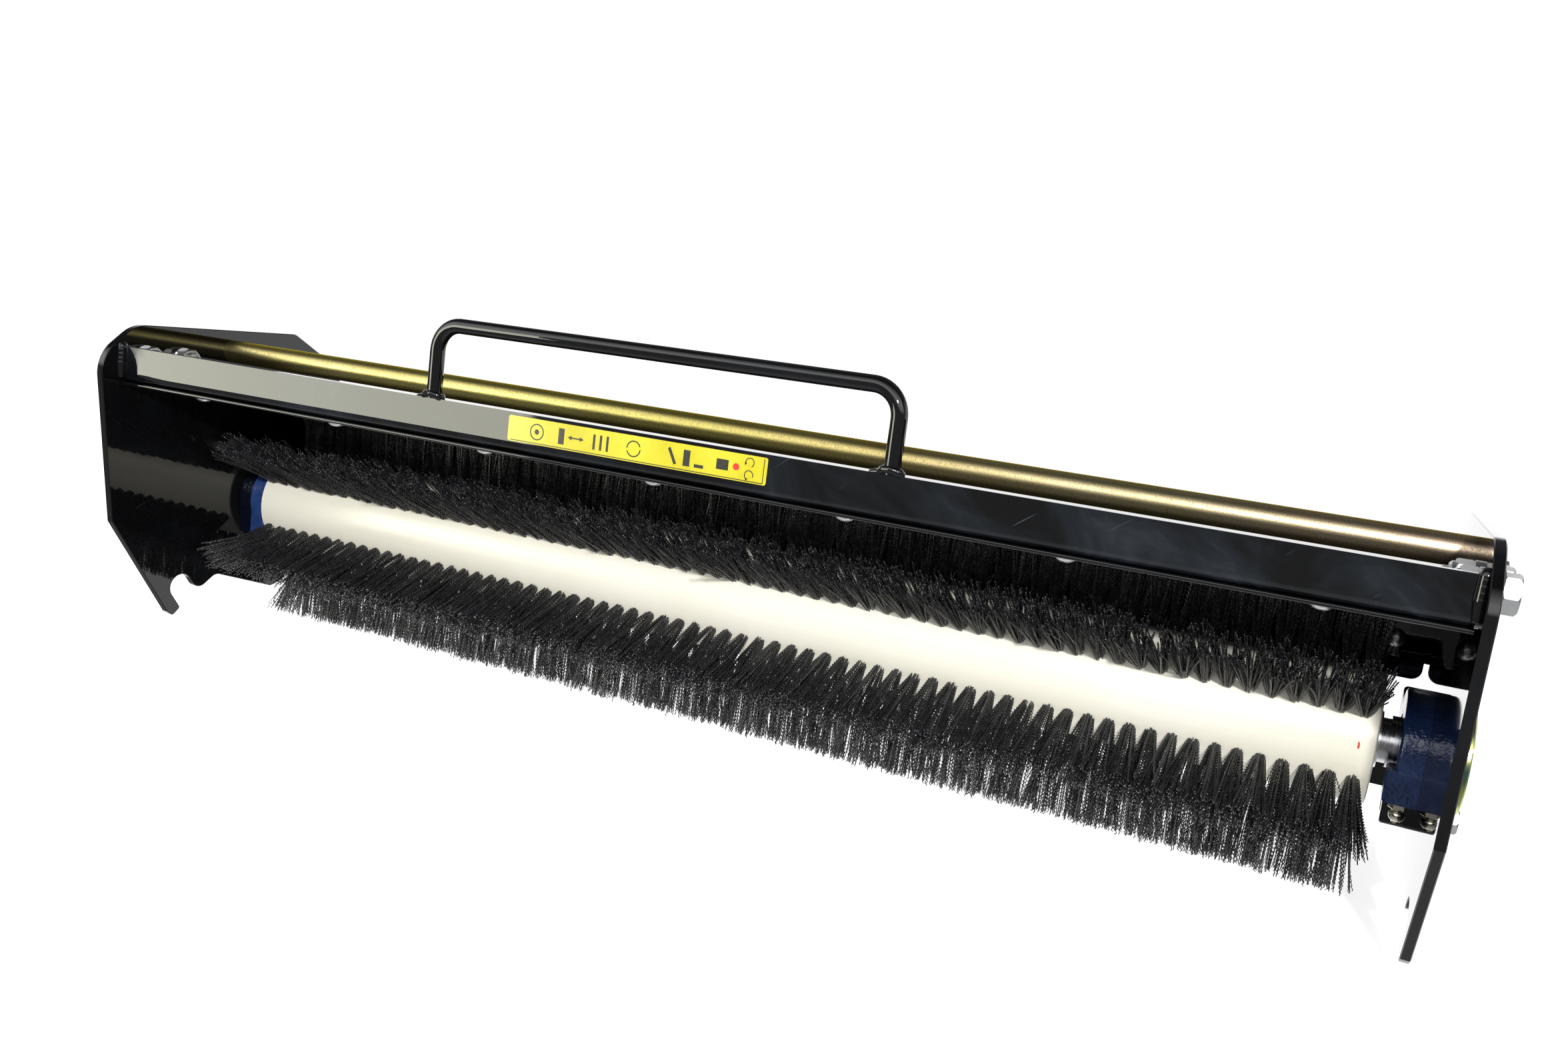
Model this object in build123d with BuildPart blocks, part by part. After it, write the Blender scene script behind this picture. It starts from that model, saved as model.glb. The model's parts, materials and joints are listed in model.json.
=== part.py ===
"""Rotary brush cassette for a cylinder mower.

Origin: on the brush axis, half way between the side plates.
+X to the drive end, +Y to the rear, +Z up. Millimetres.
"""

import os
from math import cos, radians, sin

from build123d import *

os.makedirs("parts", exist_ok=True)

# ---- driving dimensions -------------------------------------------------
INNER = 640.0            # between the inner faces of the side plates
HALF = INNER / 2
PLATE_T = 4.0
OUTER = HALF + PLATE_T

CORE_R = 28.3            # brush core
CORE_BORE_R = 22.0
CORE_X0 = -307.5
CORE_X1 = 301.5
PLUG_LEN = 14.0
TIP_R = 68.0             # bristle tips
ROWS = 6
ROW_0 = 147.0            # direction of the first row, degrees from +Y towards +Z
ROW_ROOT_HALF = 2.4
ROW_TIP_HALF = 9.5
ROW_INSET = 2.5

SHAFT_R = 9.5            # shaft through the core
JOURNAL_R = 8.5
BEARING_W = 10.0
BEARING_OR = 17.5
BEARING_X = 312.0        # inner side of each bearing
BALL_R = 2.4
BALL_PITCH_R = 13.0
BALL_COUNT = 8
GROOVE_R = 2.5
KEY_X = 330.0
KEY_LEN = 5.4

HOUSING_R = 24.1
HOUSING_T = 10.0
SPIGOT_R = 21.5
BOSS_T = (10.0, 13.0)    # grease boss low at the front, left and right housing
BOSS_Y = (-23.0, -10.0)
BOSS_Z = (-20.0, -6.0)
LUG_PITCH_R = 31.0       # screw lugs at the rear of the housing
LUG_ANGLES = (24.0, -24.0)
LUG_R = 6.5
NIPPLE_POS = (314.0, -17.0)

DISC_R = 24.0            # drive coupling
DISC_X0 = 329.0
DISC_X1 = 336.0
HUB_X0 = 327.0
RECESS_X = 333.0         # recess for the shaft screw in the outer face
RECESS_R = 11.5

BAR_FRONT = -116.0       # front crossbar, a folded angle
BAR_TOP = 88.8
BAR_BOTTOM = 70.4
BAR_T = 4.0
BAR_DEPTH = 24.0
BAR_BEND = 5.0

HANDLE_R = 3.5
HANDLE_Y = -114.0
HANDLE_TOP = 123.0
HANDLE_HALF = 113.0
HANDLE_MID = -1.5
HANDLE_BEND = 12.0

TUBE_R = 6.35
TUBE_WALL = 1.6
TUBE_POS = (-43.5, 88.4)
ROD_R = 3.0

SIDE_BOLTS = ((-102.0, 82.3), (-78.0, 81.8))     # M8, two through each plate
STUD_POS = (-60.0, 86.1)
REAR_BAR_Y = 76.0
REAR_BAR_T = 5.0
REAR_BAR_Z = (-40.5, -20.5)

HOOD_T = 1.8
HOOD_HALF = 318.8
HOOD_SCREW_PITCH = 90.7
HOOD_SCREW_Y = -104.0
HOOD_REAR_Y = 72.8
HOOD_REAR_Z = 14.0
HOOD_END_SCREW = (305.0, 32.0)

STOP_Y = (3.0, 19.0)
STOP_Z = (-37.0, -25.5)
STOP_T = 11.0
POST_POS = (11.0, -30.5)

HOOK_POS = (-70.6, -46.9)
HOOK_R = 7.0
HOOK_ANGLE = -54.4       # the notch opens downwards and to the rear
PLATE_ROUNDING = (       # y range, z range and radius of the plate's corners
    ((-130, -100), (50, 110), 20),
    ((0, 90), (50, 110), 9),
    ((-90, -60), (-64, -56), 1.6),
    ((-63, -45), (-56, -42), 6),
    ((-5, 80), (-56, -42), 2),
)


def save(part, name):
    """Label a finished part and write its STEP file."""
    part.label = name
    export_step(part, f"parts/{name}.step")


def side_plane(x):
    """Sketch plane at x, seen from +X: local x is +Y, local y is +Z."""
    return Plane((x, 0, 0), x_dir=(0, 1, 0), z_dir=(1, 0, 0))


def polar(radius, angle):
    """Point on a circle about the brush axis, as (y, z)."""
    return radius * cos(radians(angle)), radius * sin(radians(angle))


# ---- side plates --------------------------------------------------------
def side_plate_outline():
    """Plate edge, clockwise from the front bend; the hook notch is cut later."""
    return [
        (-116.9, -5.3),
        (-127.9, 83.2),
        (-107.5, 100.3),
        (3.3, 100.3),
        (86.0, 56.0),
        (86.0, -40.0),
        (78.0, -48.0),
        (8.0, -48.0),
        (-4.0, -55.5),
        (-46.5, -42.4),
        (-66.0, -55.5),
        (-75.2, -63.4),
        (-79.3, -60.5),
    ]


def build_side_plate(x0):
    """Side plate between x0 and x0 + PLATE_T, with all its holes."""
    with BuildPart() as plate:
        with BuildSketch(side_plane(x0)) as face:
            with BuildLine():
                Polyline(*side_plate_outline(), close=True)
            make_face()
            with Locations(Location((*HOOK_POS, 0), (0, 0, HOOK_ANGLE))):
                Circle(HOOK_R, mode=Mode.SUBTRACT)
                Rectangle(30, 2 * HOOK_R, align=(Align.MIN, Align.CENTER), mode=Mode.SUBTRACT)
            for ys, zs, radius in PLATE_ROUNDING:
                corners = face.vertices().filter_by_position(Axis.X, *ys)
                fillet(corners.filter_by_position(Axis.Y, *zs), radius=radius)
            Circle(SPIGOT_R + 0.2, mode=Mode.SUBTRACT)
            with Locations(*SIDE_BOLTS):
                Circle(4.2, mode=Mode.SUBTRACT)
            with Locations(TUBE_POS):
                Circle(ROD_R + 0.25, mode=Mode.SUBTRACT)
            with Locations(POST_POS):
                Circle(3.25, mode=Mode.SUBTRACT)
            with Locations(*[polar(LUG_PITCH_R, a) for a in LUG_ANGLES]):
                Circle(3.25, mode=Mode.SUBTRACT)
        extrude(amount=PLATE_T)
        rim = plate.faces().filter_by(Axis.X).edges().filter_by(GeomType.LINE)
        chamfer(rim, length=0.4)
    return plate.part


left_side_plate = build_side_plate(-OUTER)
right_side_plate = build_side_plate(HALF)
save(left_side_plate, "left_side_plate")
save(right_side_plate, "right_side_plate")


def mirrored(part):
    """The same part on the other side of the machine."""
    with BuildPart() as other:
        mirror(part, about=Plane.YZ)
    return other.part


def both_sides(part):
    """One group holding a right-hand part and its left-hand twin."""
    with BuildPart() as pair:
        add(part)
        mirror(part, about=Plane.YZ)
    return pair.part


def turned(profile, centre=(0, 0)):
    """Solid of revolution about a line along X; the profile lists (x, radius)."""
    with BuildPart() as body:
        with BuildSketch(Plane.XY):
            with BuildLine():
                Polyline(*profile, close=True)
            make_face()
        revolve(axis=Axis.X)
    with BuildPart() as placed:
        with Locations((0, *centre)):
            add(body.part)
    return placed.part


def ring(x0, x1, r_out, r_in, centre=(0, 0)):
    """Plain ring or washer about a line along X."""
    return turned([(x0, r_in), (x1, r_in), (x1, r_out), (x0, r_out)], centre)


def hexagon(x0, x1, across_flats, bore_r, centre, turn=0):
    """Hexagon nut or head blank between x0 and x1; bore_r 0 for a head."""
    corner_r = across_flats / 2 / cos(radians(30))
    with BuildPart() as body:
        with BuildSketch(side_plane(x0)):
            with Locations(Location((*centre, 0), (0, 0, turn))):
                RegularPolygon(across_flats / 2, 6, major_radius=False)
            if bore_r:
                with Locations(centre):
                    Circle(bore_r, mode=Mode.SUBTRACT)
        extrude(amount=x1 - x0)
        cap = turned(
            [(x0, 0), (x1, 0), (x1, corner_r * 0.9), (x1 - 1.0, corner_r + 0.05),
             (x0 + 0.6, corner_r + 0.05), (x0, corner_r * 0.94)],
            centre,
        )
        add(cap, mode=Mode.INTERSECT)
    return body.part


# ---- front crossbar and its welds ---------------------------------------
def folded_sheet(path, thickness, bend_r, x0, x1):
    """Sheet folded along X; path is the middle of the sheet, bend_r its bends."""
    with BuildPart() as sheet:
        with BuildSketch(side_plane(x0)):
            with BuildLine():
                FilletPolyline(*path, radius=bend_r)
            trace(line_width=thickness)
        extrude(amount=x1 - x0)
    return sheet.part


bar_mid = BAR_T / 2
bar_path = [
    (BAR_FRONT + bar_mid, BAR_TOP),
    (BAR_FRONT + bar_mid, BAR_BOTTOM + bar_mid),
    (BAR_FRONT + BAR_DEPTH, BAR_BOTTOM + bar_mid),
]
screw_xs = [k * HOOD_SCREW_PITCH for k in range(-3, 4)]
with BuildPart() as front_crossbar:
    add(folded_sheet(bar_path, BAR_T, BAR_BEND - bar_mid, -HALF, HALF))
    with Locations(*[(x, HOOD_SCREW_Y, BAR_BOTTOM + bar_mid) for x in screw_xs]):
        Cylinder(2.75, BAR_T + 2, mode=Mode.SUBTRACT)
save(front_crossbar.part, "front_crossbar")


# ---- carry handle --------------------------------------------------------
handle_left = HANDLE_MID - HANDLE_HALF
handle_right = HANDLE_MID + HANDLE_HALF
with BuildPart() as carry_handle:
    with BuildLine() as handle_path:
        FilletPolyline(
            (handle_left, HANDLE_Y, BAR_TOP),
            (handle_left, HANDLE_Y, HANDLE_TOP),
            (handle_right, HANDLE_Y, HANDLE_TOP),
            (handle_right, HANDLE_Y, BAR_TOP),
            radius=HANDLE_BEND,
        )
    with BuildSketch(Plane((handle_left, HANDLE_Y, BAR_TOP), z_dir=(0, 0, 1))):
        Circle(HANDLE_R)
    sweep()
save(carry_handle.part, "carry_handle")

with BuildPart() as handle_welds:
    for x in (handle_left, handle_right):
        with BuildSketch(Plane((x, HANDLE_Y, BAR_TOP), z_dir=(0, 0, 1))):
            Circle(HANDLE_R + 1.8)
            Circle(HANDLE_R, mode=Mode.SUBTRACT)
            Rectangle(20, BAR_T, mode=Mode.INTERSECT)
        extrude(amount=2.2)
save(handle_welds.part, "handle_welds")

with BuildPart() as crossbar_welds:
    for end in (-1, 1):
        with BuildSketch(Plane((end * HALF, BAR_FRONT, BAR_BOTTOM + 2), z_dir=(0, 0, 1))):
            with BuildLine():
                Line((0, 0), (-end * 3.2, 0))
                ThreePointArc((-end * 3.2, 0), (-end * 1.9, -1.9), (0, -3.2))
                Line((0, -3.2), (0, 0))
            make_face()
        extrude(amount=BAR_TOP - BAR_BOTTOM - 3)
save(crossbar_welds.part, "crossbar_welds")

with BuildPart() as front_label:
    with BuildSketch(Plane((-5.5, BAR_FRONT, 81.6), x_dir=(1, 0, 0), z_dir=(0, -1, 0))):
        RectangleRounded(129, 11.4, 1.0)
    extrude(amount=0.2)
save(front_label.part, "front_label")

# ---- rear crossbar and stop blocks --------------------------------------
with BuildPart() as rear_crossbar:
    rear_low, rear_high = REAR_BAR_Z
    with Locations((0, REAR_BAR_Y + REAR_BAR_T / 2, (rear_low + rear_high) / 2)):
        Box(INNER, REAR_BAR_T, rear_high - rear_low)
    fillet(rear_crossbar.edges().filter_by(Axis.X), radius=0.8)
save(rear_crossbar.part, "rear_crossbar")

with BuildPart() as stop_block:
    stop_y = (STOP_Y[0] + STOP_Y[1]) / 2
    stop_z = (STOP_Z[0] + STOP_Z[1]) / 2
    with BuildSketch(side_plane(HALF - STOP_T)):
        with Locations((stop_y, stop_z)):
            RectangleRounded(STOP_Y[1] - STOP_Y[0], STOP_Z[1] - STOP_Z[0], 2.5)
        with Locations(POST_POS):
            Circle(ROD_R, mode=Mode.SUBTRACT)
    extrude(amount=STOP_T)
    inner_rim = stop_block.faces().sort_by(Axis.X)[0].outer_wire().edges()
    fillet(inner_rim, radius=1.2)
save(both_sides(stop_block.part), "stop_blocks")

with BuildPart() as cover_post:
    add(hexagon(OUTER, OUTER + 15, 10, 0, POST_POS))
    add(turned([(HALF - 9, 0), (OUTER, 0), (OUTER, ROD_R), (HALF - 9, ROD_R)], POST_POS))
save(cover_post.part, "cover_post")

# ---- tie tube ------------------------------------------------------------
save(ring(-HALF, HALF, TUBE_R, TUBE_R - TUBE_WALL, TUBE_POS), "tie_tube")
rod_end = OUTER + 4.2
rod_profile = [(-rod_end, 0), (rod_end, 0), (rod_end, ROD_R - 0.5), (rod_end - 0.5, ROD_R),
               (0.5 - rod_end, ROD_R), (-rod_end, ROD_R - 0.5)]
save(turned(rod_profile, TUBE_POS), "tie_rod")
save(both_sides(ring(OUTER, OUTER + 0.8, 5.5, ROD_R + 0.2, TUBE_POS)), "tie_rod_washers")
save(both_sides(hexagon(OUTER + 0.8, OUTER + 4.0, 10, ROD_R, TUBE_POS)), "tie_rod_nuts")

# ---- side bolts ----------------------------------------------------------
washer_in = HALF - 1.8
nut_in = washer_in - 6.0
collar_in = nut_in - 2.0
head_x = OUTER + 1.6
shank_end = collar_in - 2.6
shank = [(shank_end, 0), (head_x, 0), (head_x, 4), (shank_end + 0.8, 4), (shank_end, 3.2)]
collar = [(collar_in, 4), (nut_in, 4), (nut_in, 6.1), (collar_in + 0.9, 6.0), (collar_in, 5.1)]
with BuildPart() as side_bolt:
    for centre in SIDE_BOLTS:
        add(hexagon(head_x, head_x + 5.3, 13, 0, centre, 7))
        add(turned(shank, centre))
save(both_sides(side_bolt.part), "side_bolts")

with BuildPart() as side_washer:
    for centre in SIDE_BOLTS:
        add(ring(OUTER, head_x, 8, 4.2, centre))
        add(ring(washer_in, HALF, 7.5, 4.2, centre))
save(both_sides(side_washer.part), "side_bolt_washers")

with BuildPart() as side_nut:
    for centre in SIDE_BOLTS:
        add(mirrored(hexagon(-washer_in, -nut_in, 13, 4, centre, 10)))
        add(turned(collar, centre))
save(both_sides(side_nut.part), "side_bolt_nuts")

stud = [(OUTER, 0), (OUTER + 6.6, 0), (OUTER + 6.6, 2.6), (OUTER + 6.2, 3), (OUTER, 3)]
save(turned(stud, STUD_POS), "side_stud")

# ---- hood ----------------------------------------------------------------
hood_mid = HOOD_T / 2
hood_z = BAR_BOTTOM - hood_mid
hood_path = [
    (BAR_FRONT + 0.6, hood_z),
    (-92.0, hood_z),
    (-84.0, 67.0),
    (-66.0, 67.0),
    (-28.0, 75.0),
    (34.0, 75.0),
    (HOOD_REAR_Y + hood_mid, 44.0),
    (HOOD_REAR_Y + hood_mid, HOOD_REAR_Z),
]
with BuildPart() as hood:
    add(folded_sheet(hood_path, HOOD_T, 3.0, -HOOD_HALF, HOOD_HALF))
    low_corners = hood.edges().filter_by(Axis.Y).group_by(Axis.Z)[0]
    fillet(low_corners, radius=5)
    front_edges = hood.edges().filter_by(Axis.X).group_by(Axis.Y)[0]
    fillet(front_edges, radius=0.85)
    with Locations(*[(x, HOOD_SCREW_Y, hood_z) for x in screw_xs]):
        Cylinder(2.75, HOOD_T + 2, mode=Mode.SUBTRACT)
    with Locations(*[(s * HOOD_END_SCREW[0], HOOD_REAR_Y, HOOD_END_SCREW[1]) for s in (-1, 1)]):
        Cylinder(2.75, 8, rotation=(90, 0, 0), mode=Mode.SUBTRACT)
save(hood.part, "hood")


def dome_screw(grip):
    """M5 dome-head screw, head underside at z = 0, shank upwards."""
    with BuildPart() as screw:
        with BuildSketch(Plane.XZ):
            with BuildLine():
                ThreePointArc((0, -2.7), (3.4, -1.9), (4.75, 0))
                Polyline((4.75, 0), (2.5, 0), (2.5, grip), (0, grip), (0, -2.7))
            make_face()
        revolve(axis=Axis.Z)
        with BuildSketch(Plane.XY.offset(-2.7)):
            RegularPolygon(1.5, 6, major_radius=False)
        extrude(amount=1.6, mode=Mode.SUBTRACT)
    return screw.part


def small_nut(height):
    """M5 hexagon nut standing on z = 0."""
    with BuildPart() as nut:
        with BuildSketch():
            RegularPolygon(4.0, 6, major_radius=False)
            Circle(2.5, mode=Mode.SUBTRACT)
        extrude(amount=height)
        chamfer(nut.faces().sort_by(Axis.Z)[-1].outer_wire().edges(), length=0.4)
    return nut.part


with BuildPart() as hood_front_screws:
    with Locations(*[(x, HOOD_SCREW_Y, BAR_BOTTOM - HOOD_T) for x in screw_xs]):
        add(dome_screw(11.0))
save(hood_front_screws.part, "hood_front_screws")

with BuildPart() as hood_front_nuts:
    with Locations(*[(x, HOOD_SCREW_Y, BAR_BOTTOM + BAR_T) for x in screw_xs]):
        add(small_nut(4.0))
save(hood_front_nuts.part, "hood_front_nuts")

TAB_T = 2.5
tab_y = HOOD_REAR_Y + HOOD_T
with BuildPart() as hood_tab:
    with Locations((HALF - 12, tab_y + TAB_T / 2, HOOD_END_SCREW[1])):
        Box(24, TAB_T, 20)
    with Locations((HOOD_END_SCREW[0], tab_y, HOOD_END_SCREW[1])):
        Cylinder(2.75, 8, rotation=(90, 0, 0), mode=Mode.SUBTRACT)
save(both_sides(hood_tab.part), "hood_tabs")

with BuildPart() as hood_end_screw:
    with Locations(Location((HOOD_END_SCREW[0], HOOD_REAR_Y, HOOD_END_SCREW[1]), (-90, 0, 0))):
        add(dome_screw(10.0))
save(both_sides(hood_end_screw.part), "hood_end_screws")

with BuildPart() as hood_end_nut:
    with Locations(Location((HOOD_END_SCREW[0], tab_y + TAB_T, HOOD_END_SCREW[1]), (-90, 0, 0))):
        add(small_nut(4.0))
save(both_sides(hood_end_nut.part), "hood_end_nuts")

# ---- bearing housings ----------------------------------------------------
housing_in = HALF - HOUSING_T
bearing_out = BEARING_X + BEARING_W
clip_x = bearing_out + 0.2
clip_t = 1.2
spigot_end = OUTER + 2.0

lug_spots = [polar(LUG_PITCH_R, angle) for angle in LUG_ANGLES]


def grease_boss(boss_t):
    """Rounded block that carries the grease nipple, standing in from the plate."""
    boss_y = (BOSS_Y[0] + BOSS_Y[1]) / 2
    boss_z = (BOSS_Z[0] + BOSS_Z[1]) / 2
    with BuildPart() as boss:
        with Locations((HALF - boss_t / 2, boss_y, boss_z)):
            Box(boss_t, BOSS_Y[1] - BOSS_Y[0], BOSS_Z[1] - BOSS_Z[0])
        fillet(boss.faces().sort_by(Axis.X)[0].edges(), radius=1.6)
    return boss.part


def build_housing(boss_t):
    """Right-hand bearing housing; boss_t is how far its grease boss stands in."""
    bore = [
        (HALF - 20, 0), (spigot_end, 0), (spigot_end, BEARING_OR),
        (clip_x + clip_t, BEARING_OR), (clip_x + clip_t, 18.4), (clip_x, 18.4),
        (clip_x, BEARING_OR), (BEARING_X, BEARING_OR), (BEARING_X, 12.5), (HALF - 20, 12.5),
    ]
    with BuildPart() as housing:
        with BuildSketch(side_plane(housing_in)):
            Circle(HOUSING_R)
            for angle in LUG_ANGLES:
                with Locations(polar(LUG_PITCH_R, angle)):
                    Circle(LUG_R)
                with Locations(Location((0, 0, 0), (0, 0, angle))):
                    Rectangle(LUG_PITCH_R, 2 * LUG_R, align=(Align.MIN, Align.CENTER))
        extrude(amount=HOUSING_T)
        fillet(housing.faces().sort_by(Axis.X)[0].outer_wire().edges(), radius=2.0)
        add(grease_boss(boss_t))
        add(ring(HALF, spigot_end, SPIGOT_R, BEARING_OR))
        add(turned(bore), mode=Mode.SUBTRACT)
        for lug in lug_spots:
            drilling = [(HALF - 8, 0), (HALF, 0), (HALF, 3), (HALF - 8, 3)]
            add(turned(drilling, lug), mode=Mode.SUBTRACT)
        with Locations((NIPPLE_POS[0], NIPPLE_POS[1], BOSS_Z[0])):
            Cylinder(2.0, 9, mode=Mode.SUBTRACT)
    return housing.part


save(build_housing(BOSS_T[1]), "right_bearing_housing")
save(mirrored(build_housing(BOSS_T[0])), "left_bearing_housing")

with BuildPart() as housing_screw:
    for lug in lug_spots:
        add(hexagon(OUTER + 1.2, OUTER + 5.2, 10, 0, lug))
        add(turned([(HALF - 7, 0), (OUTER + 1.2, 0), (OUTER + 1.2, 3), (HALF - 7, 3)], lug))
save(both_sides(housing_screw.part), "housing_screws")

with BuildPart() as housing_washer:
    for lug in lug_spots:
        add(ring(OUTER, OUTER + 1.2, 5.9, 3.2, lug))
save(both_sides(housing_washer.part), "housing_washers")

with BuildPart() as nipple:
    nipple_top = (NIPPLE_POS[0], NIPPLE_POS[1], BOSS_Z[0])
    with BuildSketch(Plane(nipple_top, x_dir=(1, 0, 0), z_dir=(0, 0, -1))):
        RegularPolygon(3.5, 6, major_radius=False)
    extrude(amount=2.8)
    chamfer(nipple.edges().filter_by(Axis.Z, reverse=True), length=0.35)
    with BuildSketch(Plane(nipple_top, x_dir=(1, 0, 0), z_dir=(0, -1, 0))):
        with BuildLine():
            Polyline((0, 4.5), (2.0, 4.5), (2.0, -2.8), (1.9, -3.4), (2.5, -3.9))
            ThreePointArc((2.5, -3.9), (3.25, -5.6), (2.3, -7.6))
            Polyline((2.3, -7.6), (1.7, -8.2), (1.7, -8.9), (0.5, -9.2), (0.5, -8.2), (0, -8.0),
                     (0, 4.5))
        make_face()
    revolve(axis=Axis(nipple_top, (0, 0, 1)))
save(both_sides(nipple.part), "grease_nipples")

save(both_sides(ring(housing_in + 0.3, housing_in + 1.7, 12.5, 11.08)), "inner_seals")
ring_outer = [
    (BEARING_X, 14.6), (bearing_out, 14.6), (bearing_out, BEARING_OR), (BEARING_X, BEARING_OR),
]
ring_inner = [
    (BEARING_X, JOURNAL_R), (bearing_out, JOURNAL_R), (bearing_out, 11.4), (BEARING_X, 11.4),
]
bearing_mid = BEARING_X + BEARING_W / 2


def race(profile):
    """Bearing ring with its ball groove."""
    with BuildPart() as blank:
        add(turned(profile))
        with BuildSketch(Plane.XY):
            with Locations((bearing_mid, BALL_PITCH_R)):
                Circle(GROOVE_R)
        revolve(axis=Axis.X, mode=Mode.SUBTRACT)
    return blank.part


save(both_sides(race(ring_outer)), "bearing_outer_rings")
save(both_sides(race(ring_inner)), "bearing_inner_rings")

ball_spots = [polar(BALL_PITCH_R, k * 360 / BALL_COUNT) for k in range(BALL_COUNT)]
with BuildPart() as balls:
    with Locations(*[(bearing_mid, y, z) for y, z in ball_spots]):
        Sphere(BALL_R)
with BuildPart() as cage:
    add(ring(bearing_mid - 2.9, bearing_mid + 2.9, 13.7, 12.3))
    with Locations(*[(bearing_mid, y, z) for y, z in ball_spots]):
        Sphere(GROOVE_R, mode=Mode.SUBTRACT)
save(balls.part, "right_bearing_balls")
save(mirrored(balls.part), "left_bearing_balls")
save(cage.part, "right_ball_cage")
save(mirrored(cage.part), "left_ball_cage")

with BuildPart() as clip:
    add(ring(clip_x + 0.02, clip_x + clip_t - 0.02, 18.35, 15.6))
    with Locations((clip_x + clip_t / 2, 0, -17)):
        Box(4, 7, 6, mode=Mode.SUBTRACT)
save(both_sides(clip.part), "retaining_rings")

shield_x = clip_x + clip_t + 0.1
save(ring(shield_x, spigot_end, BEARING_OR, JOURNAL_R + 0.5), "right_shield")
cap_x = spigot_end + 0.6
cap_profile = [
    (shield_x + 3.4, 0), (shield_x + 3.4, 14), (cap_x, BEARING_OR - 0.6), (cap_x, 20),
    (spigot_end, 20), (spigot_end, BEARING_OR), (shield_x, BEARING_OR), (shield_x, 16),
    (shield_x + 2.2, 13), (shield_x + 2.2, 0),
]
save(mirrored(turned(cap_profile)), "left_end_cap")

# ---- brush ---------------------------------------------------------------
shoulder_left = CORE_X0 - 1.2
shoulder_right = CORE_X1 + 5.0
shaft_profile = [
    (-324.0, 0), (RECESS_X - 0.3, 0), (RECESS_X - 0.3, 7.5), (RECESS_X - 0.8, 8.0),
    (326.6, 8.0), (326.6, JOURNAL_R), (shoulder_right, JOURNAL_R), (shoulder_right, SHAFT_R),
    (shoulder_left, SHAFT_R), (shoulder_left, JOURNAL_R), (-323.4, JOURNAL_R), (-324.0, 7.9),
]
with BuildPart() as brush_shaft:
    add(turned(shaft_profile))
    with Locations((KEY_X, 0, 8)):
        Box(KEY_LEN, 5, 5, mode=Mode.SUBTRACT)
    add(turned([(RECESS_X - 16, 0), (RECESS_X, 0), (RECESS_X, 4), (RECESS_X - 16, 4)]),
        mode=Mode.SUBTRACT)
save(brush_shaft.part, "brush_shaft")

with BuildPart() as brush_core:
    add(ring(CORE_X0, CORE_X1, CORE_R, CORE_BORE_R))
    chamfer(brush_core.edges().filter_by(GeomType.CIRCLE), length=0.6)
save(brush_core.part, "brush_core")

with BuildPart() as core_plugs:
    add(ring(CORE_X0 + 0.8, CORE_X0 + PLUG_LEN, CORE_BORE_R, SHAFT_R))
    add(ring(CORE_X1 - PLUG_LEN, CORE_X1 - 0.8, CORE_BORE_R, SHAFT_R))
save(core_plugs.part, "core_plugs")

save(ring(CORE_X0 - 1.0, CORE_X0 + 0.8, 12.0, SHAFT_R), "left_end_washer")
save(ring(CORE_X1 - 0.8, CORE_X1 + 1.6, 12.0, SHAFT_R), "right_end_washer")
with BuildPart() as spacer_rings:
    add(ring(shoulder_right, BEARING_X, 11.0, JOURNAL_R))
    add(ring(-BEARING_X, shoulder_left, 11.0, JOURNAL_R))
save(spacer_rings.part, "spacer_rings")

for row in range(ROWS):
    outward = (0, *polar(1, ROW_0 + row * 360 / ROWS))
    with BuildPart() as bristle_row:
        with BuildSketch(Plane((CORE_X0 + ROW_INSET, 0, 0), x_dir=outward, z_dir=(1, 0, 0))):
            with BuildLine():
                root = CORE_R + 0.2
                shoulder = TIP_R - 1.5
                Polyline((shoulder, ROW_TIP_HALF), (root, ROW_ROOT_HALF),
                         (root, -ROW_ROOT_HALF), (shoulder, -ROW_TIP_HALF))
                ThreePointArc((shoulder, -ROW_TIP_HALF), (TIP_R, 0), (shoulder, ROW_TIP_HALF))
            make_face()
        extrude(amount=CORE_X1 - CORE_X0 - 2 * ROW_INSET)
    save(bristle_row.part, f"bristle_row_{row + 1}")

# ---- drive ---------------------------------------------------------------
with BuildPart() as drive_coupling:
    add(ring(HUB_X0, RECESS_X, 13.0, 8.0))
    add(ring(DISC_X0, DISC_X1, DISC_R, RECESS_R))
    chamfer(drive_coupling.edges().filter_by(GeomType.CIRCLE).group_by(SortBy.RADIUS)[-1],
            length=0.6)
    for turn in (38, 158, 278):
        y, z = polar(DISC_R, turn)
        with Locations(Location(((DISC_X0 + DISC_X1) / 2, y, z), (turn, 0, 0))):
            Box(20, 7, 1.6, mode=Mode.SUBTRACT)
    with Locations((KEY_X, 0, 8)):
        Box(20, 5, 5, mode=Mode.SUBTRACT)
save(drive_coupling.part, "drive_coupling")

with BuildPart() as drive_key:
    with Locations((KEY_X, 0, 8)):
        Box(KEY_LEN, 5, 5)
    chamfer(drive_key.edges(), length=0.3)
save(drive_key.part, "drive_key")

save(ring(RECESS_X, RECESS_X + 1.0, 11.0, 4.2), "shaft_washer")
with BuildPart() as shaft_screw:
    add(ring(RECESS_X + 1.0, DISC_X1 - 0.3, 7.0, 3.4))
    add(ring(RECESS_X + 1.0, RECESS_X + 1.8, 3.4, 0.01))
    add(turned([(RECESS_X - 15, 0), (RECESS_X + 1.0, 0), (RECESS_X + 1.0, 4), (RECESS_X - 15, 4)]))
save(shaft_screw.part, "shaft_screw")
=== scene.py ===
"""Rotary brush cassette: surfaces, brush filaments, weld beads, marks, light and camera."""

import json
from math import cos, pi, radians, sin

import bpy
import numpy as np
from mathutils import Matrix, Vector


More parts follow.
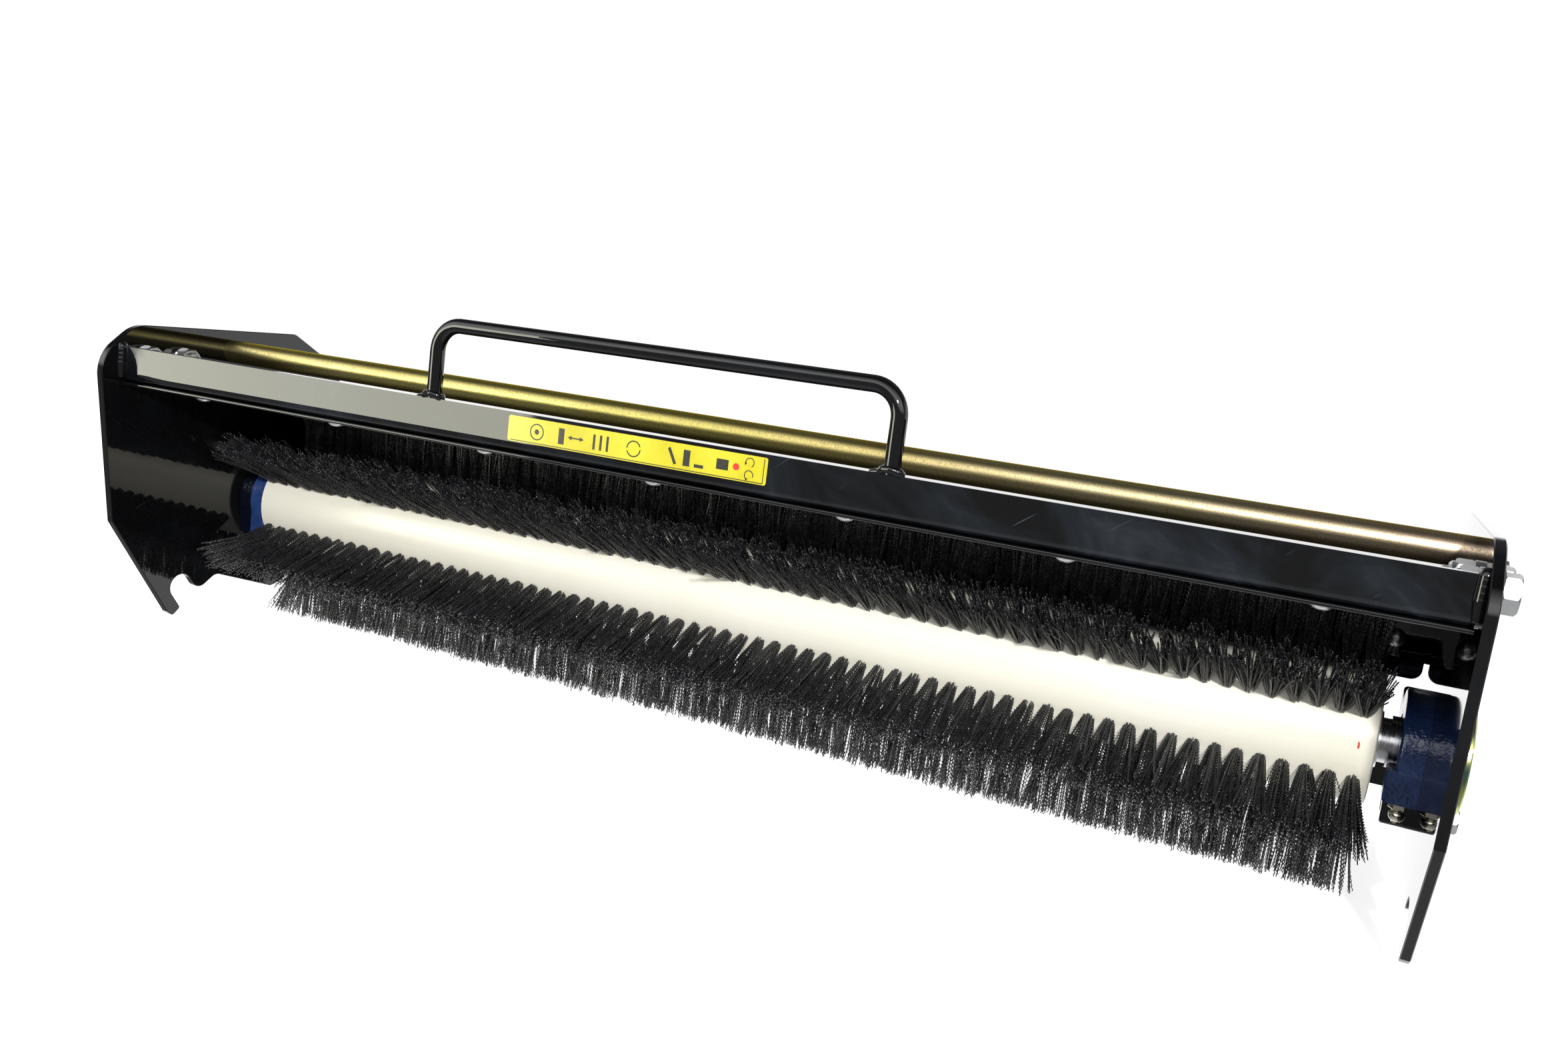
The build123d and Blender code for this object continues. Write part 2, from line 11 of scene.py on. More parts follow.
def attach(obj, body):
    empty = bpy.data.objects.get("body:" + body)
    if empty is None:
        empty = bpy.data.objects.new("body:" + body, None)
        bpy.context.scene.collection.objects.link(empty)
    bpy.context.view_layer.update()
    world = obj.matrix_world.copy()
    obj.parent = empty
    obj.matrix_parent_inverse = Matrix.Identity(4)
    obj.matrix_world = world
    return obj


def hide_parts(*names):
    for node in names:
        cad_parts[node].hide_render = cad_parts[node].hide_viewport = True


MM = 0.001                 # metres in a millimetre

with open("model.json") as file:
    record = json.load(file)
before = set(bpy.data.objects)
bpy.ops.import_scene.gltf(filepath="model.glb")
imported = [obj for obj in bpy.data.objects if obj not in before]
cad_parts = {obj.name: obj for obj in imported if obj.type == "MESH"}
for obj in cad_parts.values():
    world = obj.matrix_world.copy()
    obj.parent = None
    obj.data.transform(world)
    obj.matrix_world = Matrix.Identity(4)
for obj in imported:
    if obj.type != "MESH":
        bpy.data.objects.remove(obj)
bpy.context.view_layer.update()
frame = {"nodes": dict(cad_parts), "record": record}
nodes = frame["nodes"]
scene = bpy.context.scene


# ---- node helpers ---------------------------------------------------------
class Nodes:
    """Short calls that build a shader node tree over one coordinate system."""

    def __init__(self, tree, coordinate):
        self.tree = tree
        self.coord = self.add("ShaderNodeTexCoord").outputs[coordinate]

    def feed(self, socket, value):
        """Link an output to the socket, or give it a number, vector or colour."""
        if isinstance(value, bpy.types.NodeSocket):
            self.tree.links.new(value, socket)
        elif socket.type == "RGBA":
            socket.default_value = (*value, 1.0)
        else:
            socket.default_value = value

    def add(self, kind, *values, **named):
        """New node; values go to its first inputs, named ones to inputs of that name."""
        node = self.tree.nodes.new(kind)
        for socket, value in zip(node.inputs, values):
            self.feed(socket, value)
        for name, value in named.items():
            self.feed(node.inputs[name], value)
        return node

    def axis(self, letter):
        separate = self.add("ShaderNodeSeparateXYZ", self.coord)
        return separate.outputs["XYZ".index(letter)]

    def fit(self, value, source, target):
        """Value carried from the source range to the target range, and held at its ends."""
        return self.add("ShaderNodeMapRange", value, *source, *target).outputs[0]

    def math(self, operation, a, b):
        node = self.add("ShaderNodeMath", a, b)
        node.operation = operation
        return node.outputs[0]


class Surface(Nodes):
    """A Principled material driven by patterns in object space."""

    def __init__(self, name, **inputs):
        self.mat = bpy.data.materials.new(name)
        self.mat.use_nodes = True
        super().__init__(self.mat.node_tree, "Object")
        self.shader = self.tree.nodes["Principled BSDF"]
        self.set(**inputs)

    def set(self, **inputs):
        """Shader inputs by name, with _ for a space."""
        for name, value in inputs.items():
            self.feed(self.shader.inputs[name.replace("_", " ")], value)

    def stretch(self, x=1.0, y=1.0, z=1.0, tilt=0.0):
        """Object coordinates scaled by axis, for streaks; tilt turns them about Y."""
        node = self.add("ShaderNodeMapping", self.coord)
        node.vector_type = "TEXTURE"
        node.inputs["Rotation"].default_value = (0.0, tilt, 0.0)
        node.inputs["Scale"].default_value = (1 / x, 1 / y, 1 / z)
        return node.outputs[0]

    def noise(self, size, detail=3.0, rough=0.55, over=None, distortion=0.0):
        """Noise with features about size metres across."""
        return self.add("ShaderNodeTexNoise", Vector=over or self.coord, Scale=1.0 / size,
                        Detail=detail, Roughness=rough, Distortion=distortion).outputs[0]

    def cells(self, size):
        """Distance to the nearest of points scattered about size metres apart."""
        return self.add("ShaderNodeTexVoronoi", Vector=self.coord, Scale=1.0 / size).outputs[0]

    def ramp(self, value, *stops):
        """Colour ramp; stops are (position, colour)."""
        node = self.add("ShaderNodeValToRGB", value)
        marks = node.color_ramp.elements
        while len(marks) < len(stops):
            marks.new(0.5)
        for mark, (position, colour) in zip(marks, stops):
            mark.position = position
            mark.color = (*colour, 1.0)
        return node.outputs[0]

    def mix(self, share, a, b):
        return self.add("ShaderNodeMixRGB", share, a, b).outputs[0]

    def bump(self, height, depth, strength=1.0, under=None):
        """Bump of depth metres from a 0 to 1 height, on top of the bump under it."""
        node = self.add("ShaderNodeBump", Strength=strength, Distance=depth, Height=height)
        if under is not None:
            self.feed(node.inputs["Normal"], under)
        self.set(Normal=node.outputs[0])
        return node.outputs[0]

    def turned_rings(self):
        """Fine rings about the brush axis, as a lathe leaves them."""
        return self.noise(0.0006, 3, 0.6, self.stretch(1, 0.02, 0.02))


def black_powder_coat(name, haze):
    """Glossy black; haze from 0 to 1 adds smears that roughen the coat, lighter clouds painted
    into the colour as a painted reflection haze, and a few scratches.
    """
    s = Surface(name)
    smear_and_painted_haze = s.noise(0.045, 6, 0.66, s.stretch(0.6, 1, 1.3, tilt=0.5), distortion=0.8)
    # The lighter blue-grey clouds in the base colour are a painted reflection haze; the smears
    # themselves are real and only raise the roughness.
    painted_haze_clouds = s.ramp(smear_and_painted_haze, (0.42, (0.0022, 0.0024, 0.0028)), (0.58, (0.007, 0.009, 0.012)),
                    (0.72, (0.018, 0.022, 0.029)))
    colour = s.mix(haze, (0.0026, 0.0027, 0.0031), painted_haze_clouds)
    scratch = s.noise(0.0011, 1, 0.4, s.stretch(0.035, 1, 1, tilt=-0.65))
    scratched = s.fit(scratch, (0.76, 0.8), (0.0, 0.3 * haze))
    s.set(Base_Color=s.mix(scratched, colour, (0.09, 0.10, 0.12)),
          Roughness=s.fit(smear_and_painted_haze, (0.45, 0.75), (0.015, 0.04 + 0.11 * haze)))
    peel = s.bump(s.noise(0.004, 2, 0.5), 0.00001, 0.35)
    s.bump(s.noise(0.04, 1, 0.5), 0.00012, 0.3, under=peel)
    return s.mat


def zinc(name, base, tint, roughness):
    """Bright electroplate: faint tint clouds and fine grain."""
    s = Surface(name, Metallic=1.0)
    cloud = s.noise(0.006, 4, 0.6)
    s.set(Base_Color=s.ramp(cloud, (0.35, base), (0.7, tint)),
          Roughness=s.fit(cloud, (0.3, 0.7), (roughness - 0.06, roughness + 0.1)))
    s.bump(s.noise(0.0004, 2, 0.6), 0.00002, 0.5)
    return s.mat


def yellow_zinc():
    """Yellow passivate that turns pinker along X, with dark grain and specks."""
    s = Surface("yellow_zinc", Metallic=1.0, Specular_Tint=(0.66, 0.58, 0.12))
    colour = s.ramp(
        s.fit(s.axis("X"), (-0.32, 0.32), (0.0, 1.0)),
        (0.0, (0.62, 0.54, 0.27)), (0.3, (0.64, 0.57, 0.20)), (0.5, (0.63, 0.55, 0.17)),
        (0.65, (0.62, 0.51, 0.24)), (0.82, (0.60, 0.52, 0.34)), (1.0, (0.60, 0.46, 0.39)))
    cloud = s.noise(0.02, 4, 0.65, s.stretch(0.5, 1, 1))
    grain = s.noise(0.0006, 3, 0.7)
    speck = s.noise(0.0016, 3, 0.7)
    colour = s.mix(s.fit(cloud, (0.35, 0.7), (0.0, 0.4)), colour, (0.50, 0.40, 0.12))
    colour = s.mix(s.fit(grain, (0.46, 0.68), (0.0, 0.75)), colour, (0.13, 0.11, 0.04))
    colour = s.mix(s.fit(speck, (0.66, 0.74), (0.0, 0.5)), colour, (0.14, 0.11, 0.05))
    s.set(Base_Color=colour, Roughness=s.fit(grain, (0.3, 0.7), (0.26, 0.42)))
    s.bump(grain, 0.00006, 0.7)
    return s.mat


def passivated_disc_painted_bands():
    """Turned disc with a green and gold passivate; its colour runs in light and dark bands up the
    rim, painted reflections of the surroundings laid over the passivate tint.
    """
    s = Surface("passivated_disc_painted_bands", Metallic=1.0, Specular_Tint=(0.8, 0.8, 0.55))
    height = s.fit(s.axis("Z"), (-0.024, 0.024), (0.0, 1.0))
    painted_band_height = s.mix(0.12, height, s.noise(0.012, 3))
    rings = s.turned_rings()
    # The light and dark bands by height up the rim are painted reflections; the green and gold
    # hues are the passivate.
    s.set(Base_Color=s.ramp(
        painted_band_height, (0.1, (0.52, 0.60, 0.36)), (0.35, (0.30, 0.32, 0.10)), (0.5, (0.12, 0.27, 0.20)),
        (0.62, (0.66, 0.64, 0.22)), (0.75, (0.32, 0.36, 0.16)), (0.95, (0.50, 0.56, 0.34))),
        Roughness=s.fit(rings, (0.3, 0.7), (0.12, 0.26)))
    s.bump(rings, 0.00001, 0.4)
    return s.mat


def blue_enamel():
    """Thick blue paint, pebbled by the casting under it."""
    s = Surface("blue_enamel", Specular_IOR_Level=0.6)
    pool = s.noise(0.012, 3, 0.5)
    s.set(Base_Color=s.ramp(pool, (0.3, (0.013, 0.034, 0.13)), (0.7, (0.026, 0.060, 0.20))),
          Roughness=s.fit(s.noise(0.004, 3), (0.3, 0.7), (0.08, 0.22)))
    pebble = s.bump(s.noise(0.0019, 2, 0.55), 0.0004, 0.9)
    s.bump(s.noise(0.007, 2, 0.5), 0.0005, 0.5, under=pebble)
    return s.mat


def cream_plastic():
    """Moulded plastic with long faint streaks and small dirt flecks."""
    s = Surface("cream_plastic")
    mottle = s.noise(0.05, 4, 0.6, s.stretch(0.3, 1, 1))
    streak = s.noise(0.0018, 3, 0.6, s.stretch(0.03, 1, 1))
    fleck = s.cells(0.011)
    colour = s.ramp(mottle, (0.3, (0.80, 0.78, 0.66)), (0.7, (0.86, 0.845, 0.76)))
    colour = s.mix(s.fit(streak, (0.55, 0.8), (0.0, 0.12)), colour, (0.62, 0.60, 0.50))
    colour = s.mix(s.fit(fleck, (0.0, 0.035), (0.45, 0.0)), colour, (0.35, 0.31, 0.22))
    s.set(Base_Color=colour, Roughness=s.fit(mottle, (0.3, 0.7), (0.24, 0.42)))
    s.bump(streak, 0.00002, 0.4)
    return s.mat


def black_bristle():
    s = Surface("black_bristle", Specular_IOR_Level=0.85)
    tone = s.noise(0.004, 3, 0.6)
    s.set(Base_Color=s.ramp(tone, (0.3, (0.014, 0.014, 0.017)), (0.7, (0.040, 0.041, 0.046))),
          Roughness=s.fit(tone, (0.3, 0.7), (0.16, 0.3)))
    return s.mat


def yellow_label():
    s = Surface("yellow_label", Coat_Weight=0.4, Coat_Roughness=0.12)
    haze = s.noise(0.018, 3, 0.5)
    s.set(Base_Color=s.ramp(haze, (0.3, (0.54, 0.475, 0.012)), (0.7, (0.64, 0.575, 0.020))),
          Roughness=s.fit(haze, (0.3, 0.7), (0.22, 0.36)))
    s.bump(s.noise(0.004, 2), 0.00003, 0.4)
    return s.mat


def ink(name, colour):
    """Print or paint, a little lighter in places."""
    s = Surface(name, Roughness=0.35)
    tone = s.noise(0.0012, 2)
    light = tuple(min(1.0, c * 1.5 + 0.01) for c in colour)
    s.set(Base_Color=s.ramp(tone, (0.4, colour), (0.8, light)))
    s.bump(tone, 0.00001, 0.3)
    return s.mat


def ground_steel():
    """Turned and ground steel with fine rings about the shaft."""
    s = Surface("ground_steel", Metallic=1.0)
    rings = s.turned_rings()
    s.set(Base_Color=s.ramp(rings, (0.3, (0.34, 0.34, 0.36)), (0.7, (0.56, 0.56, 0.58))),
          Roughness=s.fit(rings, (0.3, 0.7), (0.14, 0.34)))
    s.bump(rings, 0.00002, 0.6)
    return s.mat


def seal_rubber():
    s = Surface("seal_rubber")
    grain = s.noise(0.0012, 3)
    s.set(Base_Color=s.ramp(grain, (0.3, (0.014, 0.014, 0.014)), (0.7, (0.03, 0.03, 0.031))),
          Roughness=s.fit(grain, (0.3, 0.7), (0.5, 0.75)))
    s.bump(grain, 0.00004, 0.5)
    return s.mat


materials = {
    "black_powder_coat": black_powder_coat("black_powder_coat", haze=0.15),
    "bright_zinc": zinc("bright_zinc", (0.62, 0.64, 0.68), (0.74, 0.74, 0.72), 0.26),
    "yellow_zinc": yellow_zinc(),
    "blue_enamel": blue_enamel(),
    "yellow_label": yellow_label(),
    "nickel_plate": zinc("nickel_plate", (0.66, 0.63, 0.52), (0.72, 0.69, 0.60), 0.16),
    "seal_rubber": seal_rubber(),
    "bearing_steel": zinc("bearing_steel", (0.58, 0.58, 0.6), (0.66, 0.66, 0.68), 0.16),
    "cage_steel": zinc("cage_steel", (0.44, 0.44, 0.45), (0.55, 0.54, 0.53), 0.34),
    "spring_steel": zinc("spring_steel", (0.16, 0.16, 0.18), (0.24, 0.23, 0.22), 0.3),
    "ground_steel": ground_steel(),
    "cream_plastic": cream_plastic(),
    "black_bristle": black_bristle(),
}
slots = {part["node"]: part["material_slot"] for part in frame["record"]["subparts"]}
for name, ob in nodes.items():
    ob.data.materials.clear()
    ob.data.materials.append(materials[slots[name]])
nodes["drive_coupling"].data.materials[0] = passivated_disc_painted_bands()
nodes["front_crossbar"].data.materials[0] = black_powder_coat("hazed_powder_coat", haze=1.0)


# ---- pieces and meshes ----------------------------------------------------
UV_COLUMNS = 64            # tubes side by side in the texture layout, then over again
UV_GAP = 0.1               # share of a column left free at each side


def link(ob):
    scene.collection.objects.link(ob)
    return ob


def mesh_object(name, mesh):
    return link(bpy.data.objects.new(name, mesh))


def dress(ob, material, body, replaced=None):
    """Make ob a piece that rides on a body and may stand for a CAD node."""
    ob.data.materials.append(material)
    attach(ob, body)
    if replaced:
        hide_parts(replaced)


def grid_mesh(name, rings):
    """Mesh of closed tubes; rings is (tubes, stations, sides, 3) in metres."""
    tubes, stations, sides = rings.shape[:3]
    first = (np.arange(tubes) * stations * sides)[:, None, None]
    station = (np.arange(stations - 1) * sides)[:, None]
    a = np.arange(sides)
    b = (a + 1) % sides
    low, high = first + station, first + station + sides
    quads = np.stack([low + a, low + b, high + b, high + a], -1).reshape(-1)
    start_caps = (first[:, 0] + a[::-1]).reshape(-1)
    end_caps = (first[:, 0] + (stations - 1) * sides + a).reshape(-1)
    loops = np.concatenate([quads, start_caps, end_caps]).astype(np.int32)
    total = np.repeat([4, sides], [len(quads) // 4, 2 * tubes]).astype(np.int32)
    mesh = bpy.data.meshes.new(name)
    mesh.vertices.add(tubes * stations * sides)
    mesh.vertices.foreach_set("co", rings.reshape(-1).astype(np.float32))
    mesh.loops.add(len(loops))
    mesh.loops.foreach_set("vertex_index", loops)
    mesh.polygons.add(len(total))
    mesh.polygons.foreach_set("loop_start", (np.cumsum(total) - total).astype(np.int32))
    mesh.polygons.foreach_set("loop_total", total)
    tube, rest = np.divmod(loops, stations * sides)
    station, side = np.divmod(rest, sides)
    column = tube % UV_COLUMNS + UV_GAP + (1 - 2 * UV_GAP) * side / sides
    flat = np.stack([column / UV_COLUMNS, station / (stations - 1)], -1)
    mesh.uv_layers.new(name="OFBake").data.foreach_set("uv", flat.reshape(-1).astype(np.float32))
    mesh.update(calc_edges=True)
    mesh.polygons.foreach_set("use_smooth", np.ones(len(total), bool))
    mesh.validate()
    return mesh


# ---- brush filaments ------------------------------------------------------
# Lengths in mm. A slope is sideways travel per length, (along the row, across it).
SEED = 40                  # of the first row; the next rows count up from it
ROWS = 6
ROW_0 = 147.0              # degrees from +Y towards +Z
CORE_X = (-307.5, 301.5)   # ends of the core
CORE_R = 28.3
END_INSET = 6.3            # end of the core to the nearest tuft
TUFTS = 67
PER_TUFT = 52
ROOT_R = 27.4              # filaments start just inside the core surface
TIP_R = 67.2
TIP_SCATTER = 0.7
TIP_LIMITS = (-2.5, 0.8)
HOLE_R = 2.4               # radius of a tuft at its root
RIM_CROWDING = 0.28        # below 0.5 the filaments crowd towards the rim of their tuft
FAN_SLOPE = (0.155, 0.13)  # of the filaments at the rim of a tuft
TUFT_LEAN = (0.03, 0.025)  # scatter of the slope of whole tufts
SLOPE_SCATTER = 0.018      # scatter of the slope of single filaments
STRAY_SHARE = 0.03         # filaments that lean well away along the row
STRAY_SLOPE = 0.12
CURL = 1.1                 # scatter of the sideways bend at the tip
CURL_POWER = 2.2
FLARED_TUFTS = 2           # the first tufts flare outward over the end of the core
FLARE = 16.0               # the most a tip moves
FLARED_SIDE = 0.5          # share of a tuft's radius, towards mid-core, past which none flare
FLARE_START = 0.4          # share of the length that stays clear of the flare
FLARE_POWER = 1.2
FIRST_SLOPES = (-0.2, 0.2)  # limits along the row in the flared tufts and the last tuft
LAST_SLOPES = (-0.2, 0.12)
LAST_SPLAY = 0.03          # added to the last tuft, at most
MESSY_X = 1.0              # a battered patch in the middle of the first row
MESSY_HALF = 12            # half its width
MESSY_SHARE = 0.5
MESSY_SLOPE = (0.12, 0.12)
HALF_WAVE = 0.94           # half a wave of the crimp
CRIMP = 0.36               # swing of the crimp to each side
CRIMP_SPREAD = (0.85, 1.15)
CRIMP_ROOT = 0.45          # share of the swing at the root
CRIMP_RISE = 0.15          # the swing grows in proportion until this share of the length
SIDES = 3                  # sides of a filament's section
THICK = 0.27               # radius of that section
PLATE_CLEAR_X = 318.0      # tips stay within this, clear of the side plates


def filament_rings(root, slope, curl, flare, tip, rng):
    """Crimped filaments in (axial, tangential, radial) millimetres."""
    count = len(root)
    stations = int((TIP_R - ROOT_R) / HALF_WAVE) + 2
    s = np.linspace(0, 1, stations)[None, :, None]
    share = s[..., 0]
    length = (tip - ROOT_R)[:, None, None]
    across = root[:, None, :] + slope[:, None, :] * length * s
    across = across + curl[:, None, :] * s**CURL_POWER
    flared = np.clip((share - FLARE_START) / (1 - FLARE_START), 0, 1) ** FLARE_POWER
    across[..., 0] += flare[:, None] * flared
    turn = rng.uniform(0, 2 * pi, count)
    odd = (np.arange(stations)[None, :] + rng.integers(0, 2, count)[:, None]) % 2
    zigzag = np.where(odd, 1, -1) * CRIMP * rng.uniform(*CRIMP_SPREAD, count)[:, None]
    zigzag = zigzag * np.clip(share / CRIMP_RISE, CRIMP_ROOT, 1)
    wave = np.stack([np.cos(turn), np.sin(turn)], -1)[:, None, :]
    across = across + zigzag[..., None] * wave
    radial = np.broadcast_to(ROOT_R + length * s, (count, stations, 1))
    spine = np.concatenate([across, radial], -1)
    phase = turn[:, None] + np.arange(SIDES) * 2 * pi / SIDES
    side = np.stack([np.cos(phase), np.sin(phase), np.zeros_like(phase)], -1) * THICK
    return spine[:, :, None, :] + side[:, None, :, :]


def brush_row(index):
    rng = np.random.default_rng(SEED + index)
    heading = radians(ROW_0 + index * 360 / ROWS)
    centres = np.linspace(CORE_X[0] + END_INSET, CORE_X[1] - END_INSET, TUFTS)
    tuft = np.repeat(np.arange(TUFTS), PER_TUFT)
    count = len(tuft)
    spread = rng.uniform(0, 1, count) ** RIM_CROWDING
    angle = rng.uniform(0, 2 * pi, count)
    disc = np.stack([spread * np.cos(angle), spread * np.sin(angle)], -1)
    lean = rng.normal(0, TUFT_LEAN, (TUFTS, 2))
    slope = disc * FAN_SLOPE + lean[tuft] + rng.normal(0, SLOPE_SCATTER, (count, 2))
    stray = rng.uniform(0, 1, count) < STRAY_SHARE
    slope[stray, 0] += rng.normal(0, STRAY_SLOPE, stray.sum())
    first = tuft < FLARED_TUFTS
    flare = np.zeros(count)
    flare[first] = -rng.uniform(0, FLARE, first.sum()) * (disc[first, 0] < FLARED_SIDE)
    slope[first, 0] = slope[first, 0].clip(*FIRST_SLOPES)
    last = tuft == TUFTS - 1
    slope[last, 0] = slope[last, 0].clip(*LAST_SLOPES)
    slope[last, 0] += rng.uniform(0, LAST_SPLAY, last.sum())
    if index == 0:
        near = np.abs(centres[tuft] - MESSY_X) < MESSY_HALF
        messy = near & (rng.uniform(0, 1, count) < MESSY_SHARE)
        slope[messy] += rng.normal(0, MESSY_SLOPE, (messy.sum(), 2))
    curl = rng.normal(0, CURL, (count, 2))
    tip = TIP_R + rng.normal(0, TIP_SCATTER, count).clip(*TIP_LIMITS)
    root = disc * HOLE_R
    root[:, 0] += centres[tuft]
    rings = filament_rings(root, slope, curl, flare, tip, rng)
    x, t, r = np.moveaxis(rings, -1, 0)
    y = r * cos(heading) - t * sin(heading)
    z = r * sin(heading) + t * cos(heading)
    out = np.stack([x.clip(-PLATE_CLEAR_X, PLATE_CLEAR_X), y, z], -1)
    name = f"bristle_tufts_{index + 1}"
    dress(mesh_object(name, grid_mesh(name, out * MM)), materials["black_bristle"], "brush",
          replaced=f"bristle_row_{index + 1}")


for row in range(ROWS):
    brush_row(row)


# ---- weld beads -----------------------------------------------------------
# Points along a bead in mm, each (x, y, z, radius of the bead).
BAR_FRONT = -116.0         # front face of the crossbar
PLATE_BEAD = (             # x is the distance from the middle, to either side
    (319.2, BAR_FRONT - 0.2, 72.6, 2.0),
    (319.0, BAR_FRONT - 0.4, 80.0, 2.7),
    (319.2, BAR_FRONT, 89.0, 2.5),
    (319.4, BAR_FRONT + 2.4, 89.2, 1.8),
)
PLATE_BEAD_PITCH = 2.3
HANDLE_X = (-114.5, 111.5)
FOOT_BEAD_FRONT = (        # x from the leg of the handle
    (-9.5, -114.2, 88.6, 0.8),
    (-5.0, -114.8, 89.3, 1.5),
    (-3.0, -116.2, 90.6, 1.7),
    (0.5, -117.4, 91.0, 1.5),
    (3.6, -116.2, 90.2, 1.8),
    (5.2, -114.6, 88.9, 1.4),
)
FOOT_BEAD_BACK = (
    (4.6, -113.8, 88.8, 1.0),
    (2.6, -111.4, 89.6, 1.5),
    (-2.6, -111.4, 89.6, 1.5),
    (-5.0, -113.6, 88.8, 1.0),
)
FOOT_BEAD_PITCH = 1.9
BEAD_SIDES = 14
BEAD_STEP = 0.35
RIPPLE = 0.012             # share of the radius
END_TAPER = 0.3            # radius left at the two ends
BEAD_SIDEWAYS = (0.31, 0.95, 0.05)  # lies along no bead, and sets where its sides start


def bead(points, pitch):
    """Rings of a rippled weld bead, in mm; pitch is the length of a ripple."""
    points = np.array(points, float)
    spans = np.linalg.norm(np.diff(points[:, :3], axis=0), axis=1)
    at = np.concatenate([[0], np.cumsum(spans)])
    s = np.linspace(0, at[-1], int(at[-1] / BEAD_STEP) + 2)
    x, y, z, radius = (np.interp(s, at, column) for column in points.T)
    spine = np.stack([x, y, z], -1)
    radius = radius * (1 + RIPPLE * np.sin(2 * pi * s / pitch))
    radius[[0, -1]] *= END_TAPER
    along = np.gradient(spine, axis=0)
    along /= np.linalg.norm(along, axis=1)[:, None]
    up = np.cross(along, BEAD_SIDEWAYS)
    up /= np.linalg.norm(up, axis=1)[:, None]
    out = np.cross(along, up)
    a = (np.arange(BEAD_SIDES) * 2 * pi / BEAD_SIDES)[None, :, None]
    ring = np.cos(a) * up[:, None, :] + np.sin(a) * out[:, None, :]
    return spine[:, None, :] + ring * radius[:, None, None]


def bead_piece(name, beads, replaced):
    """One piece of the frame made of several beads."""
    obs = [mesh_object(name, grid_mesh(name, rings[None] * MM)) for rings in beads]
    with bpy.context.temp_override(active_object=obs[0], selected_editable_objects=obs):
        bpy.ops.object.join()
    dress(obs[0], materials["black_powder_coat"], "frame", replaced)


bead_piece("crossbar_weld_beads", [
    bead([(side * x, y, z, r) for x, y, z, r in PLATE_BEAD], PLATE_BEAD_PITCH)
    for side in (-1, 1)
], "crossbar_welds")
bead_piece("handle_weld_beads", [
    bead([(leg + x, y, z, r) for x, y, z, r in points], FOOT_BEAD_PITCH)
    for points in (FOOT_BEAD_FRONT, FOOT_BEAD_BACK) for leg in HANDLE_X
], "handle_welds")


# ---- label marks and paint tick -------------------------------------------
# Marks are outlines in mm about the middle of the label, u to the right and v up.
LABEL = (-5.5, BAR_FRONT - 0.2, 81.6)
INK_HEIGHT = 0.05


def box_shape(u, v, w, h, turn=0.0):
    c, s = cos(radians(turn)), sin(radians(turn))
    corners = [(-w / 2, -h / 2), (w / 2, -h / 2), (w / 2, h / 2), (-w / 2, h / 2)]
    return [(u + a * c - b * s, v + a * s + b * c) for a, b in corners]


def arc_shape(u, v, r, w, start, end, steps=18):
    """Band of width w along an arc of radius r, from start to end in degrees."""
    turns = [radians(start + (end - start) * k / steps) for k in range(steps + 1)]
    outer = [(u + (r + w / 2) * cos(t), v + (r + w / 2) * sin(t)) for t in turns]
    inner = [(u + (r - w / 2) * cos(t), v + (r - w / 2) * sin(t)) for t in reversed(turns)]
    return outer + inner


def disc_shape(u, v, r, steps=20):
    turns = [2 * pi * k / steps for k in range(steps)]
    return [(u + r * cos(t), v + r * sin(t)) for t in turns]


def arrow_head(u, v, size, turn):
    turns = [radians(turn) + a for a in (0, radians(130), radians(230))]
    return [(u + size * cos(t), v + size * sin(t)) for t in turns]


def marks(name, shapes, material):
    """Flat printed marks standing a little proud of the label."""
    verts, faces = [], []
    for shape in shapes:
        n, base = len(shape), len(verts)
        for depth in (0.0, INK_HEIGHT):
            verts += [((LABEL[0] + u) * MM, (LABEL[1] - depth) * MM, (LABEL[2] + v) * MM)
                      for u, v in shape]
        back = list(range(base, base + n))
        front = list(range(base + n, base + 2 * n))
        faces += [front, back[::-1]]
        faces += [[back[k], back[(k + 1) % n], front[(k + 1) % n], front[k]] for k in range(n)]
    mesh = bpy.data.meshes.new(name)
    mesh.from_pydata(verts, [], faces)
    dress(mesh_object(name, mesh), material, "frame")


marks("label_marks", [
    # ring with a dot
    arc_shape(-49, 0, 3.4, 0.55, 0, 180), arc_shape(-49, 0, 3.4, 0.55, 180, 360),
    disc_shape(-49, 0, 1.2),
    # block and a double arrow
    box_shape(-36, 0, 3.0, 7.0), box_shape(-28.5, 0, 4.2, 0.6),
    arrow_head(-31.4, 0, 1.3, 180), arrow_head(-25.6, 0, 1.3, 0),
    # three bars
    box_shape(-19, 0, 1.2, 6.6), box_shape(-15.6, 0, 1.2, 6.6), box_shape(-12.2, 0, 1.2, 6.6),
    # open ring
    arc_shape(1, 0, 3.3, 0.55, 20, 180), arc_shape(1, 0, 3.3, 0.55, 200, 360),
    # slanted bar and two blocks
    box_shape(20, 0, 1.4, 7.4, 28), box_shape(27, 0, 3.2, 6.8), box_shape(33, -2.6, 4.4, 1.4),
    # block
    box_shape(44, 0, 5.6, 4.4),
    # two turning arrows
    arc_shape(56.5, 2.6, 1.9, 0.4, -60, 200), arc_shape(56.5, -2.6, 1.9, 0.4, -20, 240),
    arrow_head(54.6, 2.0, 0.8, 250), arrow_head(55.6, -4.3, 0.8, 20),
    # border lines
    box_shape(0, -5.1, 126, 0.35), box_shape(63.0, 0, 0.35, 10.2),
], ink("label_ink", (0.02, 0.018, 0.015)))
marks("label_red_mark", [disc_shape(50.4, 0, 1.5)], ink("label_red_ink", (0.62, 0.03, 0.02)))


TICK_TURN = (172.0, 178.6)  # degrees about the axis, from +Y towards +Z
TICK_X = (294.4, 295.2)
TICK_LEFT = (0.25, 0.05, 0.0, 0.1, 0.0, 0.15, 0.4)  # ragged edges, added to TICK_X
TICK_RIGHT = (-0.3, 0.0, 0.15, 0.05, 0.2, 0.0, -0.35)
PAINT_HEIGHT = 0.03


